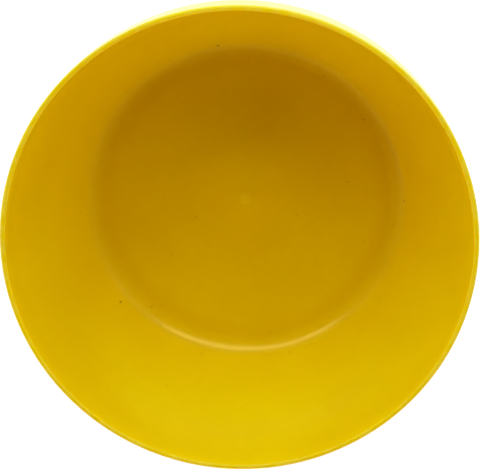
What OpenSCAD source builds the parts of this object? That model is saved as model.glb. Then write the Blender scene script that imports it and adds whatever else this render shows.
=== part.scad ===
// Round moulded plastic bowl, open at the top: one shell of even thickness on a low foot ring.
// The axis of the bowl is Z, and the foot ring stands on the plane z = 0.

/* [Bowl] */
// Diameter across the outside of the rim
rim_d = 280; // [260:1:294]
// Height from the table to the top of the rim
bowl_h = 120.5; // [112:0.5:130]
// Thickness of the wall and the floor, and width of the rim
wall_t = 3.3; // [2.6:0.1:4]

/* [Wall] */
// Length of the steep straight band below the rim
band_h = 20; // [12:1:28]
// Draft of that band, in degrees from upright
band_draft = 2; // [1:0.5:4]
// Radius of the flat part of the floor
floor_r = 90; // [80:1:94]
// Inside radius of the heel, the curve between floor and wall
heel_r = 18; // [12:1:22]

/* [Foot] */
// Height of the foot ring
foot_h = 3; // [2:0.5:5]
// Outside radius of the foot ring
foot_r = 80; // [70:1:80]
// Width of the foot ring
foot_w = 3.4; // [3:0.2:5]
// Radius of the rounding along the foot ring's lower edges
foot_round = 0.9; // [0.4:0.1:1.2]

/* [Gate] */
// Diameter of the round mark in the middle of the floor
mark_d = 8.6; // [6:0.2:12]
// Depth of that mark
mark_depth = 0.3; // [0.2:0.1:0.6]
// Diameter of the gate stub under the floor
gate_d = 5; // [4:0.5:8]
// Height of the gate stub
gate_h = 0.8; // [0.4:0.1:1.5]

/* [Hidden] */
$fn = 180;
// straight pieces along each arc of the section
rim_steps = 16;
wall_steps = 24;
heel_steps = 12;
// level of the floor's upper face
floor_z = foot_h + wall_t;
// centres of the rim's round and of the heel
rim_c = [(rim_d - wall_t) / 2, bowl_h - wall_t / 2];
heel_c = [floor_r, floor_z + heel_r];
// inner face at the lower end of the steep band, and the direction square to it, into the bowl
inward = [-cos(band_draft), sin(band_draft)];
band_end = rim_c + inward * wall_t / 2 - [sin(band_draft), cos(band_draft)] * band_h;
// the wall's arc leaves the band in line with it and runs into the heel in line with it too
gap = band_end - heel_c;
wall_r = (heel_r * heel_r - gap * gap) / (2 * (inward * gap + heel_r));
wall_c = band_end + inward * wall_r;
// angle, from the wall's centre, at which the wall and the heel meet
meet = atan2(heel_c[1] - wall_c[1], heel_c[0] - wall_c[0]);

// Points of an arc from one angle to another; first = 1 leaves out the point shared with the arc before it
function arc(centre, radius, from, to, steps, first = 0) = [
    for (i = [first:steps])
        let (a = from + (to - from) * i / steps) centre + radius * [cos(a), sin(a)]
];

// Half section of the shell: along the inner face, over the rim and back down the outer face
module shell_section() {
    polygon(concat(
        [[0, floor_z]],
        arc(heel_c, heel_r, -90, meet, heel_steps),
        arc(wall_c, wall_r, meet, -band_draft, wall_steps, 1),
        arc(rim_c, wall_t / 2, 180 - band_draft, -band_draft, rim_steps),
        arc(wall_c, wall_r + wall_t, -band_draft, meet, wall_steps),
        arc(heel_c, heel_r + wall_t, meet, -90, heel_steps, 1),
        [[0, foot_h]]
    ));
}

// Half section of the foot ring, with its lower edges rounded
module foot_section() {
    inner = foot_r - foot_w;
    translate([inner, foot_round]) square([foot_w, foot_h + wall_t / 2 - foot_round]);
    translate([inner + foot_round, 0]) square([foot_w - 2 * foot_round, foot_h]);
    for (x = [inner + foot_round, foot_r - foot_round])
        translate([x, foot_round]) circle(foot_round);
}

module bowl() {
    color("gold")
        difference() {
            union() {
                rotate_extrude() shell_section();
                rotate_extrude() foot_section();
                translate([0, 0, foot_h - gate_h]) cylinder(d = gate_d, h = gate_h + wall_t / 2);
            }
            translate([0, 0, floor_z - mark_depth]) cylinder(d = mark_d, h = wall_t);
        }
}

bowl();
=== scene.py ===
"""Looks of a round yellow plastic bowl, moulded in one piece: shell, plastic, pale studio and camera."""

import math

import bpy
from mathutils import Matrix, Vector


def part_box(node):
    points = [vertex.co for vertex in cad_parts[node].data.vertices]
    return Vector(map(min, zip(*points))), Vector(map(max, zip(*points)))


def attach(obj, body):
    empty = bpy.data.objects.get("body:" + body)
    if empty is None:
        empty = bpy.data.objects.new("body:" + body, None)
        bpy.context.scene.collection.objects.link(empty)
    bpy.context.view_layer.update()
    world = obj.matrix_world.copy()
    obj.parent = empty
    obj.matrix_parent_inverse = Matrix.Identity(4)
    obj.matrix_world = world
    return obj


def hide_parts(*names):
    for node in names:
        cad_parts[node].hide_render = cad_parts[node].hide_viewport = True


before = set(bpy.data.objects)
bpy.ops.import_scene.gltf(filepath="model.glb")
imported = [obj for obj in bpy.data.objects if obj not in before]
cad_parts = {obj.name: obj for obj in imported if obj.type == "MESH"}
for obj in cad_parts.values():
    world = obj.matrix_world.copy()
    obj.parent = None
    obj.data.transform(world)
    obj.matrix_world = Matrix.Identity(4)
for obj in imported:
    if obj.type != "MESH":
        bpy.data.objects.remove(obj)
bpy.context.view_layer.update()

# ---------------------------------------------------------------- sizes, in metres
MM = 0.001
LOW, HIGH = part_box("bowl")
RIM_R = min(HIGH.x, HIGH.y, -LOW.x, -LOW.y)  # outermost radius, at the rim
TOP = HIGH.z  # top of the rim
WALL = 3.3 * MM  # thickness of the shell all over
BAND = 20 * MM  # steep straight band below the rim
BAND_DRAFT = math.radians(2)
FLOOR_R = 90 * MM  # flat part of the floor
HEEL_R = 18 * MM  # curve between the floor and the wall
FOOT = 3 * MM  # height of the foot ring
FOOT_R = 80 * MM
FOOT_W = 3.4 * MM
FOOT_ROUND = 0.9 * MM
MARK_R = 4.3 * MM  # round mark in the middle of the floor
MARK_DEPTH = 0.3 * MM
MARK_ROUND = 0.12 * MM  # rounding of the mark's and the stub's edges
GATE_R = 2.5 * MM  # gate stub under the floor
GATE = 0.8 * MM  # height of that stub

FLOOR_Z = FOOT + WALL  # upper face of the floor

# how finely the bowl is drawn: faces round it, then steps along each stretch of its section
SEGMENTS = 256
FLOOR_STEPS = 6
HEEL_STEPS = 14
WALL_STEPS = 22
BAND_STEPS = 2
RIM_STEPS = 16
FOOT_STEPS = 5
UNDER_STEPS = 5
FILLET_STEPS = 4
MARK_STEPS = 3
SAME_POINT = 1e-7  # points closer than this are merged
CREASE = math.radians(40)  # edges sharper than this stay sharp


# ---------------------------------------------------------------- the section of the shell
def arc(centre, radius, start, end, steps):
    """Points (radius, height) of an arc in the bowl's half section, angles in radians."""
    return [
        (
            centre[0] + radius * math.cos(start + (end - start) * i / steps),
            centre[1] + radius * math.sin(start + (end - start) * i / steps),
        )
        for i in range(steps + 1)
    ]


def along(start, end, steps):
    """Points between two points of the section, without the first."""
    return [
        tuple(a + (b - a) * i / steps for a, b in zip(start, end, strict=True))
        for i in range(1, steps + 1)
    ]


def wall_arc():
    """Centre and radius of the wall's inner arc, and the angle at which it meets the heel."""
    rim = (RIM_R - WALL / 2, TOP - WALL / 2)
    inward = (-math.cos(BAND_DRAFT), math.sin(BAND_DRAFT))
    end = (
        rim[0] + inward[0] * WALL / 2 - math.sin(BAND_DRAFT) * BAND,
        rim[1] + inward[1] * WALL / 2 - math.cos(BAND_DRAFT) * BAND,
    )
    heel = (FLOOR_R, FLOOR_Z + HEEL_R)
    gap = (end[0] - heel[0], end[1] - heel[1])
    radius = (HEEL_R**2 - gap[0] ** 2 - gap[1] ** 2) / (
        2 * (inward[0] * gap[0] + inward[1] * gap[1] + HEEL_R)
    )
    centre = (end[0] + inward[0] * radius, end[1] + inward[1] * radius)
    meet = math.atan2(heel[1] - centre[1], heel[0] - centre[0])
    return rim, heel, centre, radius, meet


def shell_section():
    """Rings (radius, height) from the edge of the floor's mark, over the rim, to the gate stub below."""
    rim, heel, centre, radius, meet = wall_arc()
    down, up = -math.pi / 2, math.pi / 2
    inside = [(MARK_R - MARK_ROUND, FLOOR_Z - MARK_DEPTH)]
    mark = (MARK_R - MARK_ROUND, FLOOR_Z - MARK_DEPTH + MARK_ROUND)
    inside += arc(mark, MARK_ROUND, down, 0, MARK_STEPS)[1:]
    inside += arc((MARK_R + MARK_ROUND, FLOOR_Z - MARK_ROUND), MARK_ROUND, math.pi, up, MARK_STEPS)
    inside += along(inside[-1], (FLOOR_R, FLOOR_Z), FLOOR_STEPS)
    inside += arc(heel, HEEL_R, down, meet, HEEL_STEPS)[1:]
    inside += arc(centre, radius, meet, -BAND_DRAFT, WALL_STEPS)[1:]
    over = arc(rim, WALL / 2, math.pi - BAND_DRAFT, -BAND_DRAFT, RIM_STEPS)
    over = along(inside[-1], over[0], BAND_STEPS) + over[1:]
    outer_wall = arc(centre, radius + WALL, -BAND_DRAFT, meet, WALL_STEPS)
    outside = along(over[-1], outer_wall[0], BAND_STEPS) + outer_wall[1:]
    outside += arc(heel, HEEL_R + WALL, meet, down, HEEL_STEPS)[1:]
    foot_in = FOOT_R - FOOT_W
    fillet_z = FOOT - FOOT_ROUND
    foot = [(FOOT_R + FOOT_ROUND, FOOT)]
    foot += arc((FOOT_R + FOOT_ROUND, fillet_z), FOOT_ROUND, up, math.pi, FILLET_STEPS)[1:]
    foot += arc((FOOT_R - FOOT_ROUND, FOOT_ROUND), FOOT_ROUND, 0, down, FOOT_STEPS)
    foot += arc((foot_in + FOOT_ROUND, FOOT_ROUND), FOOT_ROUND, down, -math.pi, FOOT_STEPS)
    foot += arc((foot_in - FOOT_ROUND, fillet_z), FOOT_ROUND, 0, up, FILLET_STEPS)
    under = along(foot[-1], (GATE_R + MARK_ROUND, FOOT), UNDER_STEPS)
    under += arc((GATE_R + MARK_ROUND, FOOT - MARK_ROUND), MARK_ROUND, up, math.pi, MARK_STEPS)[1:]
    under += arc((GATE_R - MARK_ROUND, FOOT - GATE + MARK_ROUND), MARK_ROUND, 0, down, MARK_STEPS)
    return inside + over + outside + foot + under


# ---------------------------------------------------------------- modelling
def only(piece):
    """Selects one object alone and makes it active."""
    bpy.ops.object.select_all(action="DESELECT")
    piece.select_set(True)
    bpy.context.view_layer.objects.active = piece


def draw_ring(last, ring):
    """Extrudes the open edge loop from its ring to the next one, in edit mode."""
    bpy.ops.mesh.extrude_edges_move(
        TRANSFORM_OT_translate={"value": (0, 0, ring[1] - last[1])}
    )
    grow = ring[0] / last[0]
    bpy.ops.transform.resize(value=(grow, grow, 1), center_override=(0, 0, ring[1]))


def lathe_bowl():
    """The shell, drawn ring by ring from the mark in its floor round to the gate stub under it."""
    rings = shell_section()
    bpy.ops.object.select_all(action="DESELECT")
    bpy.ops.mesh.primitive_circle_add(
        vertices=SEGMENTS, radius=rings[0][0], fill_type="TRIFAN", location=(0, 0, rings[0][1])
    )
    bowl = bpy.context.object
    bowl.name = bowl.data.name = "bowl_shell"
    bpy.ops.object.transform_apply(location=True, rotation=True, scale=True)
    bpy.ops.object.mode_set(mode="EDIT")
    bpy.ops.mesh.select_mode(type="EDGE")
    bpy.ops.mesh.select_all(action="DESELECT")
    bpy.ops.mesh.select_non_manifold()
    for last, ring in zip(rings, rings[1:]):
        draw_ring(last, ring)
    bpy.ops.mesh.fill(use_beauty=False)
    bpy.ops.mesh.select_all(action="SELECT")
    bpy.ops.mesh.remove_doubles(threshold=SAME_POINT)
    bpy.ops.mesh.normals_make_consistent(inside=False)
    bpy.ops.object.mode_set(mode="OBJECT")
    only(bowl)
    bpy.ops.object.shade_smooth_by_angle(angle=CREASE)
    return bowl


# ---------------------------------------------------------------- shader maths
class Value:
    """A shader socket that can be used in Python arithmetic."""

    def __init__(self, nodes, socket):
        self.nodes = nodes
        self.socket = socket

    def math(self, operation, *others):
        return self.nodes.add("ShaderNodeMath", {"operation": operation}, [self, *others])

    def __add__(self, other):
        return self.math("ADD", other)

    def __radd__(self, other):
        return self.nodes.add("ShaderNodeMath", {"operation": "ADD"}, [other, self])

    def __sub__(self, other):
        return self.math("SUBTRACT", other)

    def __rsub__(self, other):
        return self.nodes.add("ShaderNodeMath", {"operation": "SUBTRACT"}, [other, self])

    def __mul__(self, other):
        return self.math("MULTIPLY", other)

    def __truediv__(self, other):
        return self.math("DIVIDE", other)

    def smooth(self, start, end):
        """Rises softly from 0 at the start to 1 at the end."""
        settings = {"interpolation_type": "SMOOTHSTEP"}
        return self.nodes.add("ShaderNodeMapRange", settings, [self, start, end, 0, 1])

    def within(self, low, high, soft):
        """1 between low and high, fading to 0 over the soft width at both."""
        half = soft / 2
        return self.smooth(low - half, low + half) * (1 - self.smooth(high - half, high + half))


class Nodes:
    """The emptied node tree of a material or of the world."""

    def __init__(self, owner):
        owner.use_nodes = True
        self.tree = owner.node_tree
        self.tree.nodes.clear()

    def place(self, kind, settings=None, values=None):
        """Adds a node: its settings first, then its sockets' values or links, by order or by name."""
        node = self.tree.nodes.new(kind)
        for name, value in (settings or {}).items():
            setattr(node, name, value)
        pairs = values.items() if isinstance(values, dict) else enumerate(values or [])
        for key, value in pairs:
            if isinstance(value, Value):
                self.tree.links.new(value.socket, node.inputs[key])
            else:
                node.inputs[key].default_value = value
        return node

    def add(self, kind, settings=None, values=None, output=0):
        return Value(self, self.place(kind, settings, values).outputs[output])

    def split(self, vector):
        """The X, Y and Z of a vector."""
        node = self.place("ShaderNodeSeparateXYZ", values=[vector])
        return [Value(self, socket) for socket in node.outputs]

    def vector(self, x, y, z=0):
        return self.add("ShaderNodeCombineXYZ", values=[x, y, z])

    def noise(self, where, scale, detail):
        values = {"Vector": where, "Scale": scale, "Detail": detail}
        return self.add("ShaderNodeTexNoise", values=values)

    def blend(self, amount, first, second):
        """Mixes two colours."""
        return self.add("ShaderNodeMix", {"data_type": "RGBA"}, {0: amount, 6: first, 7: second}, 2)


# ---------------------------------------------------------------- camera
CAMERA_DISTANCE = 8.5 * RIM_R  # from the middle of the rim
CAMERA_TILT = math.radians(15.2)  # off the bowl's axis, towards -Y
CAMERA_SWING = math.radians(9.2)  # and a little towards -X
CAMERA_AIM = (0.9 * MM, 5.5 * MM)  # right of and above the middle of the rim, as the camera sees it
LENS, SENSOR = 153, 36  # millimetres
VIEW_DEPTH = 100  # how far the camera sees


def place_camera():
    """Looks into the bowl from just off its axis, with the near side of the rim at the top of the view."""
    back = Vector(
        (
            -math.sin(CAMERA_TILT) * math.sin(CAMERA_SWING),
            -math.sin(CAMERA_TILT) * math.cos(CAMERA_SWING),
            math.cos(CAMERA_TILT),
        )
    )
    rim = Vector((0, 0, TOP - WALL / 2))
    right = Vector((0, -1, 0)).cross(back).normalized()
    up = back.cross(right)
    bpy.ops.object.camera_add(location=rim + back * CAMERA_DISTANCE)
    camera = bpy.context.object
    aim = rim + right * CAMERA_AIM[0] + up * CAMERA_AIM[1]
    back = (camera.location - aim).normalized()
    right = up.cross(back).normalized()
    up = back.cross(right)
    camera.rotation_euler = Matrix((right, up, back)).transposed().to_euler()
    camera.data.lens = LENS
    camera.data.sensor_width = SENSOR
    camera.data.dof.use_dof = False
    camera.data.clip_end = VIEW_DEPTH
    bpy.context.scene.camera = camera


# ---------------------------------------------------------------- studio
LAMP_DISTANCE = 2.5  # from the middle of the rim to every softbox
FRONT = 9  # bearing of the studio's front, in degrees from -Y towards -X
FLOOR_SIZE = 4
FLOOR_PAINT = (0.68, 0.68, 0.8, 1)
FLOOR_LIGHT = (0.75, 0.86, 1, 1)  # cool, against the warm softboxes
FLOOR_GLOW = 0.76
TENT_TOP = 16  # degrees above the horizon up to which the tent's pale walls reach
TENT_EDGE = 0.03  # softness of the walls' upper edge
TENT_LIGHT = 1.1
# tints of the softboxes
WARM = (1.0, 0.9, 0.6)
WARMER = (1.0, 0.65, 0.45)
FRESH = (0.5, 1.0, 0.7)
# softboxes round the bowl: name, bearings of their middles from the front and the width of each, lower and
# upper edge above the horizon, all in degrees, then brightness, tint, and whether the plastic mirrors them
SOFTBOXES = [
    ("front", (-45, 0), 45, 16, 34, 2.5, FRESH, False),
    ("front_right", (45,), 45, 16, 34, 1.4, FRESH, False),
    ("side", (-90, 90), 45, 24, 34, 1.1, WARMER, False),
    ("back", (135, 180, 225), 45, 22, 33, 4.0, WARM, False),
    ("key", (0,), 45, 37, 49, 4.2, WARM, True),
    ("key_top", (0,), 45, 49, 57, 2.2, WARM, True),
    ("key_left", (-40,), 35, 36, 48, 4.2, WARM, True),
    ("key_far_left", (-62.5,), 10, 36, 48, 1.8, WARM, False),
    ("key_right", (27.5,), 10, 36, 48, 3.6, WARM, True),
    ("key_far_right", (50,), 35, 36, 48, 2.2, WARM, False),
    ("ceiling", (-90, 90, 135, 180, 225), 45, 34, 46, 0.5, WARMER, False),
]


def softbox(name, bearing, span, low, high, brightness, tint, mirrored):
    """A lit panel that faces the bowl."""
    turn, lift = math.radians(bearing), math.radians((low + high) / 2)
    away = Vector((-math.sin(turn) * math.cos(lift), -math.cos(turn) * math.cos(lift), math.sin(lift)))
    place = Vector((0, 0, TOP)) + away * LAMP_DISTANCE
    bpy.ops.object.light_add(type="AREA", location=place, rotation=away.to_track_quat("Z", "Y").to_euler())
    lamp = bpy.context.object
    lamp.name = name
    lamp.data.shape = "RECTANGLE"
    lamp.data.size = 2 * LAMP_DISTANCE * math.cos(lift) * math.tan(math.radians(span / 2))
    lamp.data.size_y = 2 * LAMP_DISTANCE * math.tan(math.radians((high - low) / 2))
    lamp.data.color = tint
    lamp.data.energy = math.pi * lamp.data.size * lamp.data.size_y * brightness
    lamp.visible_camera = False
    lamp.visible_glossy = mirrored


def light_studio():
    """Hangs every softbox round the bowl."""
    for name, bearings, *panel in SOFTBOXES:
        for bearing in bearings:
            softbox(name, FRONT + bearing, *panel)


def pale_tent():
    """The world: soft pale walls all round, dark overhead."""
    world = bpy.data.worlds.new("pale_tent")
    bpy.context.scene.world = world
    n = Nodes(world)
    height = n.split(n.add("ShaderNodeTexCoord", output="Generated"))[2]
    top = math.sin(math.radians(TENT_TOP))
    walls = 1 - height.smooth(top - TENT_EDGE, top + TENT_EDGE)
    sky = n.add("ShaderNodeBackground", values={"Color": (1, 1, 1, 1), "Strength": walls * TENT_LIGHT})
    n.place("ShaderNodeOutputWorld", values=[sky])


def pale_floor():
    """A matt pale floor that glows a little, so that the bowl stands on clean white."""
    bpy.ops.object.select_all(action="DESELECT")
    bpy.ops.mesh.primitive_plane_add(size=FLOOR_SIZE)
    floor = bpy.context.object
    floor.name = "studio_floor"
    paint = bpy.data.materials.new("studio_floor")
    n = Nodes(paint)
    shader = n.add(
        "ShaderNodeBsdfPrincipled",
        values={
            "Base Color": FLOOR_PAINT,
            "Roughness": 0.9,
            "Specular IOR Level": 0.1,
            "Emission Color": FLOOR_LIGHT,
            "Emission Strength": FLOOR_GLOW,
        },
    )
    n.place("ShaderNodeOutputMaterial", values=[shader])
    floor.data.materials.append(paint)


# ---------------------------------------------------------------- the plastic
# colours of the plastic, linear
CLEAR_YELLOW = (0.93, 0.66, 0.0, 1)
DEEP_YELLOW = (0.90, 0.61, 0.0, 1)
GRIME = (0.20, 0.05, 0.005, 1)
SCUFFED = (0.95, 0.74, 0.12, 1)
PRESSED = (0.98, 0.73, 0.01, 1)  # where the gate was
HEEL_SHADE_YELLOW = (0.90, 0.57, 0.0, 1)  # painted shade: a deeper tone all along the heel's corner
GLOSS = 0.2  # roughness of the moulded skin
SHEEN_TINT = (1.0, 0.85, 0.4, 1)
SHEEN = 0.6  # strength of the skin's reflections
# heights of the slow waviness, of the fine orange peel and of the turning marks round the heel
WAVE = 0.012 * MM
PEEL = 0.0008 * MM
TURNED = 0.006 * MM
TURNING = 2.6 * MM  # spacing of the turning marks
# noise scales, in waves a metre, from the slow drift of the tone to the fine orange peel
DRIFT_SCALE = 14
PATCH_SCALE = 45
WAVE_SCALE = 70
WEAR_SCALE = 160
MOTTLE_SCALE = 250
PEEL_SCALE = 900
# dust: spacing and largest size, on the floor and up the wall
FLOOR_DUST = (16 * MM, 0.55 * MM)
WALL_DUST = (19 * MM, 0.6 * MM)
# how strongly each thing shows in the plastic's tone
MOTTLED = 0.08
# the next is the strength of the painted shade along the heel
HEEL_SHADE = 0.5
GATE_PALE = 0.5
DUSTY = 0.75
RIM_WEAR = 0.25
FOOT_WEAR = 0.8
FLECK_DEPTH = 2 * MM  # less than the wall, so that no fleck shows on the outside
# flecks in the inner skin: bearing from -Y towards -X, distance from the axis, length, width, turn and
# darkness, in degrees and millimetres
FLECKS = [
    (-10, 100, 1.5, 0.5, 10, 1.0),
    (55, 90, 0.7, 0.7, 0, 0.8),
    (-130, 105, 0.9, 0.8, 0, 0.9),
    (125, 90, 0.5, 0.5, 0, 0.6),
    (90, 100, 0.9, 0.6, 60, 0.6),
    (-140, 95, 1.3, 0.8, 30, 0.3),
    (95, 95, 0.8, 0.5, 80, 0.4),
    (100, 95, 0.6, 0.5, 0, 0.4),
    (110, 80, 0.9, 0.4, 20, 0.5),
    (80, 65, 1.8, 0.4, 25, 0.35),
    (145, 95, 0.7, 0.5, 0, 0.5),
    (170, 90, 1.0, 0.5, 0, 0.3),
]


def inner_height(distance):
    """Height of the bowl's inner face at a distance from its axis."""
    _, heel, centre, radius, meet = wall_arc()
    if distance <= FLOOR_R:
        return FLOOR_Z
    if distance <= FLOOR_R + HEEL_R * math.cos(meet):
        centre, radius = heel, HEEL_R
    return centre[1] - math.sqrt(radius**2 - (distance - centre[0]) ** 2)


def fleck(n, point, bearing, distance, length, width, turn):
    """A small elongated spot in the inner skin."""
    angle = math.radians(bearing)
    reach = distance * MM
    place = (-math.sin(angle) * reach, -math.cos(angle) * reach, inner_height(reach))
    settings = {"vector_type": "TEXTURE"}
    where = [point, place, (0, 0, math.radians(turn)), (length * MM, width * MM, FLECK_DEPTH)]
    local = n.add("ShaderNodeMapping", settings, where)
    away = n.add("ShaderNodeVectorMath", {"operation": "LENGTH"}, [local], "Value")
    return 1 - away.smooth(0.5, 1)


def specks(n, where, spacing, size):
    """Scattered dots of dust in the skin, most of them tiny."""
    values = {"Vector": where, "Scale": 1 / spacing}
    cells = n.place("ShaderNodeTexVoronoi", {"voronoi_dimensions": "2D"}, values)
    pick = n.split(Value(n, cells.outputs["Color"]))[0]
    reach = pick.math("POWER", 5) * (size / spacing) + 0.0001
    return 1 - (Value(n, cells.outputs["Distance"]) / reach).smooth(0.4, 1)


def yellow_plastic():
    """Glossy dyed plastic: drifting tone, fine waviness, dust, painted shade along the heel and worn
    edges.
    """
    plastic = bpy.data.materials.new("yellow_plastic")
    n = Nodes(plastic)
    point = n.add("ShaderNodeTexCoord", output="Object")
    x, y, z = n.split(point)
    radius = n.add("ShaderNodeVectorMath", {"operation": "LENGTH"}, [n.vector(x, y)], "Value")
    unrolled = n.vector(x.math("ARCTAN2", y) * RIM_R, z)  # round the wall in X, up it in Y
    flat = radius.math("LESS_THAN", FLOOR_R + HEEL_R / 2)

    drift = n.noise(point, DRIFT_SCALE, 2)
    mottle = n.noise(point, MOTTLE_SCALE, 1)
    dust = specks(n, point, *FLOOR_DUST) * flat + specks(n, unrolled, *WALL_DUST) * (1 - flat)
    for *shape, darkness in FLECKS:
        dust = dust.math("MAXIMUM", fleck(n, point, *shape) * darkness)
    gate = 1 - radius.smooth(MARK_R - 0.4 * MM, MARK_R + 0.4 * MM)
    # painted shade: a deeper-toned ring in the corner along the heel
    heel_shade = radius.within(FLOOR_R - 6 * MM, FLOOR_R + 5 * MM, 9 * MM) * z.smooth(FLOOR_Z - MM, FLOOR_Z)
    rim = z.smooth(TOP - 1.2 * MM, TOP)
    foot = 1 - z.smooth(0.2 * MM, 0.9 * MM)
    scratched = n.noise(point, WEAR_SCALE, 4).smooth(0.42, 0.62)
    worn = (rim * RIM_WEAR + foot * FOOT_WEAR) * scratched

    tone = n.blend(drift.smooth(0.3, 0.7), DEEP_YELLOW, CLEAR_YELLOW)
    tone = n.blend(mottle.smooth(0.3, 0.8) * MOTTLED, tone, DEEP_YELLOW)
    # blends in the painted shade along the heel
    tone = n.blend(heel_shade * HEEL_SHADE, tone, HEEL_SHADE_YELLOW)
    tone = n.blend(worn, tone, SCUFFED)
    tone = n.blend(gate * GATE_PALE, tone, PRESSED)
    tone = n.blend(dust * DUSTY, tone, GRIME)
    rough = GLOSS + (drift - 0.5) * 0.06 + (mottle - 0.5) * 0.03 + worn * 0.2 + dust * 0.2

    waves = (n.noise(point, WAVE_SCALE, 1) - 0.5) * WAVE
    peel = (n.noise(point, PEEL_SCALE, 1) - 0.5) * PEEL
    patchy = n.noise(point, PATCH_SCALE, 1).smooth(0.45, 0.65)
    turned = radius.within(FLOOR_R, FLOOR_R + HEEL_R * 0.7, 4 * MM)
    turning = (radius * (math.tau / TURNING)).math("SINE") * patchy * turned * TURNED
    height = waves + peel + turning
    bump = n.add("ShaderNodeBump", values={"Strength": 1, "Distance": 1, "Height": height})
    skin = n.add(
        "ShaderNodeBsdfPrincipled",
        values={
            "Base Color": tone,
            "Roughness": rough,
            "IOR": 1.5,
            "Specular IOR Level": SHEEN,
            "Specular Tint": SHEEN_TINT,
            "Normal": bump,
        },
    )
    n.place("ShaderNodeOutputMaterial", values=[skin])
    return plastic


# ---------------------------------------------------------------- the bowl in its studio
bowl_shell = lathe_bowl()
bowl_shell.data.materials.append(yellow_plastic())
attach(bowl_shell, "root")
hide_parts("bowl")

pale_floor()
pale_tent()
light_studio()
place_camera()
bpy.context.scene.view_settings.view_transform = "Standard"
